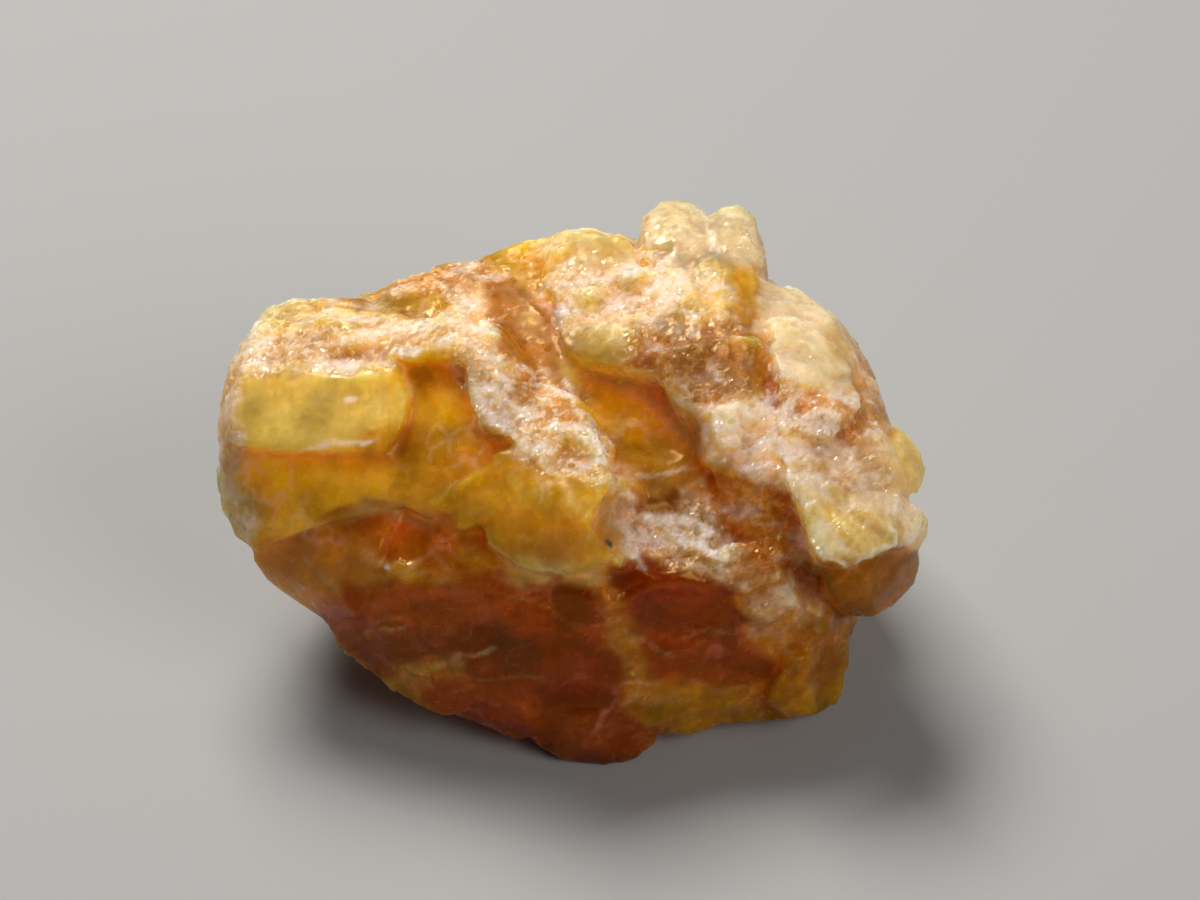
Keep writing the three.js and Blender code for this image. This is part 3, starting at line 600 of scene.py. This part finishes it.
crystal = {
    "ior": 1.63,
    "clearness": 0.64,
    "glow": (1.0, 0.74, 0.22),       # how far each colour travels inside, as shares of the reach
    "reach": 12 * mm,
    "milkReach": 7 * mm,
    "specular": 0.2,
    "milkSpecular": 0.4,
    "shine": (1.0, 0.6, 0.1, 1),
    "milkShine": (1.0, 0.9, 0.75, 1),
    "tintInside": (0.97, 0.86, 0.0, 1),
    "tintDensity": 240,
    "roughness": (0.22, 0.15),       # and how much the fine noise changes it
    "milkRoughness": (0.5, 0.42),    # and how much less it is on a polished grain
}

# Grains, and specks among them. Where a name ends in Sugar, the pair is for a clear face,
# and how much more for a sugary one. Each Fade and From is where a thing comes in.
grains = {
    "size": 0.34,                    # mm
    "speckSize": 0.19,               # mm
    "polishFade": (0.78, 0.9),       # so a few grains are polished
    # milk in the crystal
    "milkGrain": 0.3,
    "milkFine": 0.2,
    "milkSugar": (0.1, 0.9),
    "milkFade": (0.05, 0.95),
    # white flecks and amber pits among the frost
    "fleckFine": 0.2,
    "fleckFade": (0.80, 0.90),
    "fleckFrom": (0.25, 0.8),        # by the sugar
    "fleckWhite": 0.7,
    "pitFade": (0.04, 0.08),
    "pitFrom": (0.3, 0.7),           # by the sugar
    "pitAmber": 0.3,
    # how light each face is: everywhere, by speck or grain, and by fine noise
    "clearShade": (0.94, 0.12, 0.18),
    "milkShade": 0.96,
    "milkGrainSugar": (0.03, 0.18),
    "milkFineSugar": (0.04, 0.16),
    "frostWhite": 0.75,
    # how far the little faces lean and the fine noise ripples them
    "speckLean": 0.4,                # the specks' share of the lean
    "leanSugar": (0.03, 1.2),
    "rippleSugar": (0.08, 0.3),
}


def honeyCrystal():
    shader = Shader("honeyCrystal")
    place = shader.node("ShaderNodeTexCoord", output="Object")
    haze = shader.attribute("haze", "Fac")
    sugar = shader.attribute("sugar", "Fac")
    frost = shader.attribute("frost", "Fac")
    honey = shader.attribute("honey", "Color")
    fine = shader.attribute("fine", "Vector")
    grain = shader.cells(place, grains["size"])
    speck = shader.cells(place, grains["speckSize"])
    fineShade = shader.node("ShaderNodeSeparateXYZ", {}, {0: fine}, "X")
    grainShade = shader.channel(grain, 0)
    grainPolish = shader.channel(grain, 1)
    speckShade = shader.channel(speck, 0)
    white = palette["white"] + (1,)
    bronze = palette["bronze"] + (1,)

    def bySugar(name):
        least, more = grains[name]
        return least + more * sugar

    # milky where the haze and the grains agree
    jitter = grains["milkGrain"] * (grainShade - 0.5) + grains["milkFine"] * fineShade
    milk = shader.smooth(haze + jitter * bySugar("milkSugar"), *grains["milkFade"])
    fleck = shader.smooth(speckShade + grains["fleckFine"] * fineShade, *grains["fleckFade"])
    fleck = fleck * shader.smooth(sugar, *grains["fleckFrom"])
    pit = 1 - shader.smooth(speckShade, *grains["pitFade"])
    pit = pit * shader.smooth(sugar, *grains["pitFrom"])

    level, bySpeck, byFine = grains["clearShade"]
    clearShade = level + bySpeck * speckShade + byFine * fineShade
    clearColour = shader.blend(1.0, honey, clearShade, "MULTIPLY")
    milkShade = grains["milkShade"] + bySugar("milkGrainSugar") * (grainShade - 0.5)
    milkShade = milkShade + bySugar("milkFineSugar") * fineShade
    milkColour = shader.blend(frost * grains["frostWhite"], honey, white)
    milkColour = shader.blend(1.0, milkColour, milkShade, "MULTIPLY")
    milkColour = shader.blend(fleck * grains["fleckWhite"], milkColour, white)
    milkColour = shader.blend(pit * grains["pitAmber"], milkColour, bronze)

    # every grain leans its own way, and a sugary one more
    normal = shader.node("ShaderNodeNewGeometry", output="Normal")
    lean = shader.blend(grains["speckLean"], grain, speck)
    lean = shader.vector("SUBTRACT", lean, (0.5, 0.5, 0.5))
    lean = shader.scaled(lean, bySugar("leanSugar"))
    ripple = shader.scaled(fine, bySugar("rippleSugar"))
    uneven = shader.vector("ADD", normal, shader.vector("ADD", ripple, lean))
    uneven = shader.vector("NORMALIZE", uneven)

    roughness, roughnessByFine = crystal["roughness"]
    clear = shader.node("ShaderNodeBsdfPrincipled", {"subsurface_method": "RANDOM_WALK"}, {
        "Base Color": clearColour,
        "Roughness": roughness + roughnessByFine * fineShade,
        "IOR": crystal["ior"],
        "Specular IOR Level": crystal["specular"],
        "Specular Tint": crystal["shine"],
        "Transmission Weight": crystal["clearness"],
        "Subsurface Weight": 1.0,
        "Subsurface Radius": crystal["glow"],
        "Subsurface Scale": crystal["reach"],
        "Normal": uneven,
    })
    milkRoughness, polish = crystal["milkRoughness"]
    milky = shader.node("ShaderNodeBsdfPrincipled", {"subsurface_method": "RANDOM_WALK"}, {
        "Base Color": milkColour,
        "Roughness": milkRoughness - polish * shader.smooth(grainPolish, *grains["polishFade"]),
        "IOR": crystal["ior"],
        "Specular IOR Level": crystal["milkSpecular"],
        "Specular Tint": crystal["milkShine"],
        "Subsurface Weight": 1.0,
        "Subsurface Radius": crystal["glow"],
        "Subsurface Scale": crystal["milkReach"],
        "Normal": uneven,
    })
    surface = shader.node("ShaderNodeMixShader", {}, {0: milk, 1: clear, 2: milky})
    inside = shader.node("ShaderNodeVolumeAbsorption", {}, {
        "Color": crystal["tintInside"],
        "Density": crystal["tintDensity"],
    })
    shader.node("ShaderNodeOutputMaterial", {}, {"Surface": surface, "Volume": inside})
    return shader.material


stonePiece.data.materials.clear()
stonePiece.data.materials.append(honeyCrystal())
print("stone: material made")


studio = {
    "floor": {"Base Color": (0.33, 0.33, 0.33, 1), "Roughness": 0.75},
    "floorReach": 2,                 # m each way
    # where each lamp stands, its size, power and colour
    "key": ((-0.075, 0.15, 0.30), 0.16, 1.55, (1.0, 0.97, 0.92)),
    "fill": ((0.26, -0.22, 0.24), 0.25, 0.80, (1.0, 0.98, 0.95)),
    "target": (0, 0, 0.01),
    "sky": ((0.9, 0.95, 1.0, 1), 0.06),
}


def makeFloor():
    shape = bmesh.new()
    bmesh.ops.create_grid(shape, x_segments=1, y_segments=1, size=studio["floorReach"])
    mesh = bpy.data.meshes.new("floor")
    shape.to_mesh(mesh)
    shape.free()
    shader = Shader("paleFloor")
    surface = shader.node("ShaderNodeBsdfPrincipled", {}, studio["floor"])
    shader.node("ShaderNodeOutputMaterial", {}, {"Surface": surface})
    mesh.materials.append(shader.material)
    floor = bpy.data.objects.new("floor", mesh)
    bpy.context.scene.collection.objects.link(floor)


def makeLamp(name, place, size, power, colour):
    data = bpy.data.lights.new(name, "AREA")
    data.size = size
    data.energy = power
    data.color = colour
    lamp = bpy.data.objects.new(name, data)
    bpy.context.scene.collection.objects.link(lamp)
    lamp.location = place
    lamp.rotation_mode = "QUATERNION"
    aim = Vector(studio["target"]) - Vector(place)
    lamp.rotation_quaternion = aim.to_track_quat("-Z", "Y")


makeFloor()
makeLamp("key", *studio["key"])
makeLamp("fill", *studio["fill"])
world = bpy.data.worlds.new("studio")
world.use_nodes = True
skyColour, skyStrength = studio["sky"]
sky = world.node_tree.nodes["Background"]
sky.inputs["Color"].default_value = skyColour
sky.inputs["Strength"].default_value = skyStrength
bpy.context.scene.world = world

view = {
    "elevation": math.radians(40),
    "distance": 260 * mm,
    "frameWidth": 61.68 * mm,
    "aside": 1.44 * mm,    # of the middle of the broad face
    "above": 2.06 * mm,
    "film": 36,            # mm
    "nearest": 10 * mm,
}
back = Vector((0, -math.cos(view["elevation"]), math.sin(view["elevation"])))
up = Vector((0, math.sin(view["elevation"]), math.cos(view["elevation"])))
right = Vector((1, 0, 0))
aim = faceOrigin + right * view["aside"] + up * view["above"]
lens = bpy.data.cameras.new("camera")
lens.sensor_width = view["film"]
lens.lens = view["film"] * view["distance"] / view["frameWidth"]
lens.clip_start = view["nearest"]
camera = bpy.data.objects.new("camera", lens)
bpy.context.scene.collection.objects.link(camera)
turn = Matrix((right, up, back)).transposed().to_4x4()
camera.matrix_world = Matrix.Translation(aim + back * view["distance"]) @ turn
bpy.context.scene.camera = camera
bpy.context.scene.view_settings.view_transform = "Standard"
print("studio: floor, lamps and camera set")
